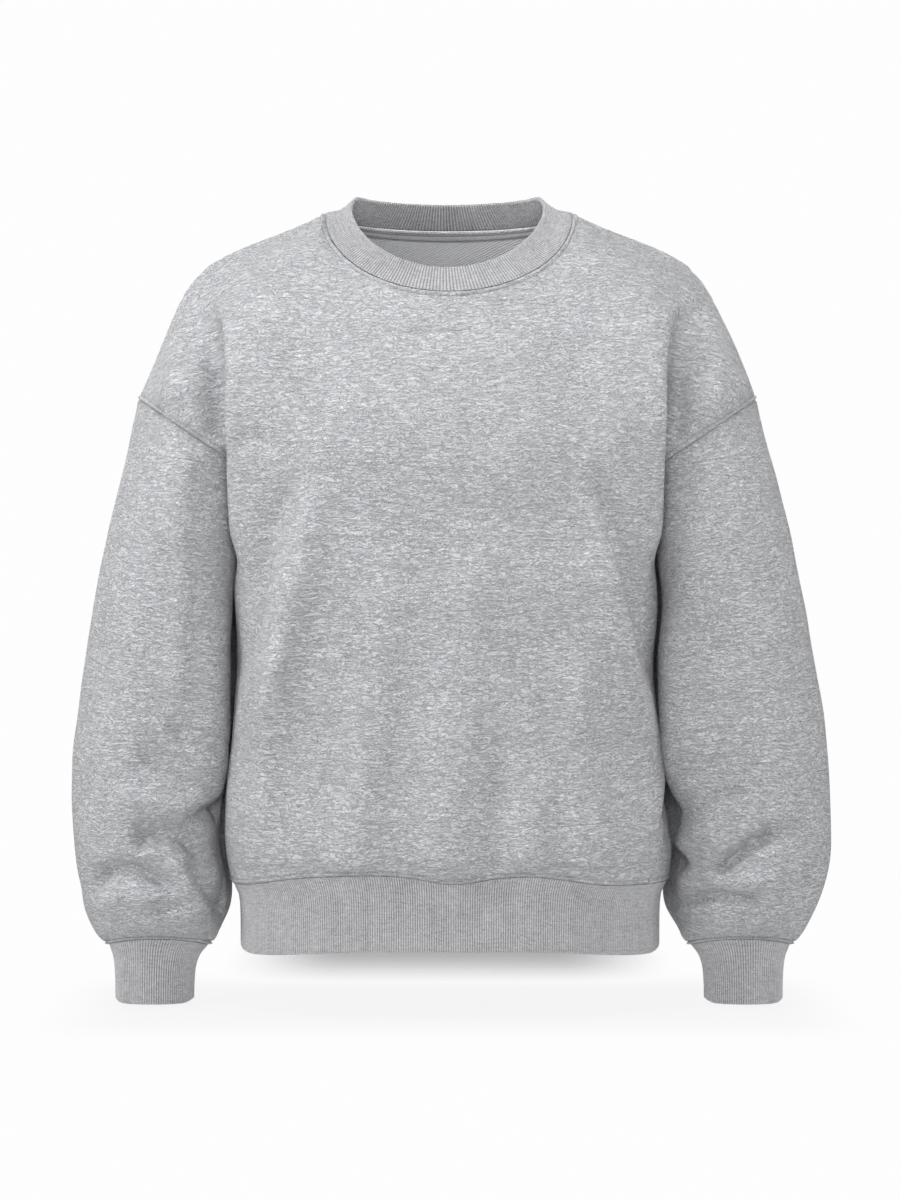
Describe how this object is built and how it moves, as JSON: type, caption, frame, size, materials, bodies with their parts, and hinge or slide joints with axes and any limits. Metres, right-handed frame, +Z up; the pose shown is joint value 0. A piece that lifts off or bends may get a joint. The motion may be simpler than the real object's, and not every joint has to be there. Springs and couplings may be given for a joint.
{
  "type": "crewneck sweatshirt",
  "caption": "Oversized crewneck sweatshirt with dropped shoulders and ribbed neckband, hem and cuffs, filled out as if worn, hollow and open at neck, hem and cuffs.",
  "frame": {"origin": "base of the neck, midway between the high points of the two shoulder seams, where the wearer's shoulders carry it", "axes": "+X to the wearer's left, +Y to the back, +Z up"},
  "size_m": [0.6448, 0.2559, 0.6843],
  "materials": {
    "fleece": "light heather grey brushed fleece, matt, with a short soft nap",
    "rib": "heather grey 1 x 1 rib knit, matt",
    "tape": "heather grey jersey tape, matt"
  },
  "bodies": {
    "root": {"front": "fleece", "back": "fleece", "sleeve_left": "fleece", "sleeve_right": "fleece", "neck_rib": "rib", "hem_rib": "rib", "cuff_left": "rib", "cuff_right": "rib", "neck_tape": "tape"}
  },
  "joints": []
}
